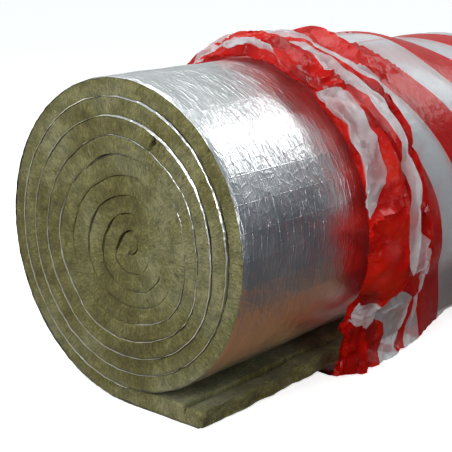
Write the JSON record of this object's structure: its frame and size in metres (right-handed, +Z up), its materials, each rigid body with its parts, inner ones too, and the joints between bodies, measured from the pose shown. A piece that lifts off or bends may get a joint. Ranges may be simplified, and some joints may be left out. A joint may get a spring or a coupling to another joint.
{
  "type": "insulation roll",
  "caption": "Foil-faced stone-wool lamella mat wound into a roll lying on its side, loose end on the floor, striped packing film pushed back.",
  "frame": {"origin": "on the floor, under the middle of the whole object", "axes": "+X along the roll from its bare near end to its far end, +Y away from the loose end of the mat, +Z up"},
  "size_m": [1.0004, 0.5869, 0.5886],
  "materials": {
    "stone_wool": "fibrous, matt, olive brown",
    "aluminium_foil": "bright crinkled foil laminate with scrim",
    "printed_film": "thin translucent film with slanting red and white stripes"
  },
  "bodies": {
    "root": {"wool_mat": "stone_wool", "foil_facing": "aluminium_foil", "packing_film": "printed_film"}
  },
  "joints": []
}
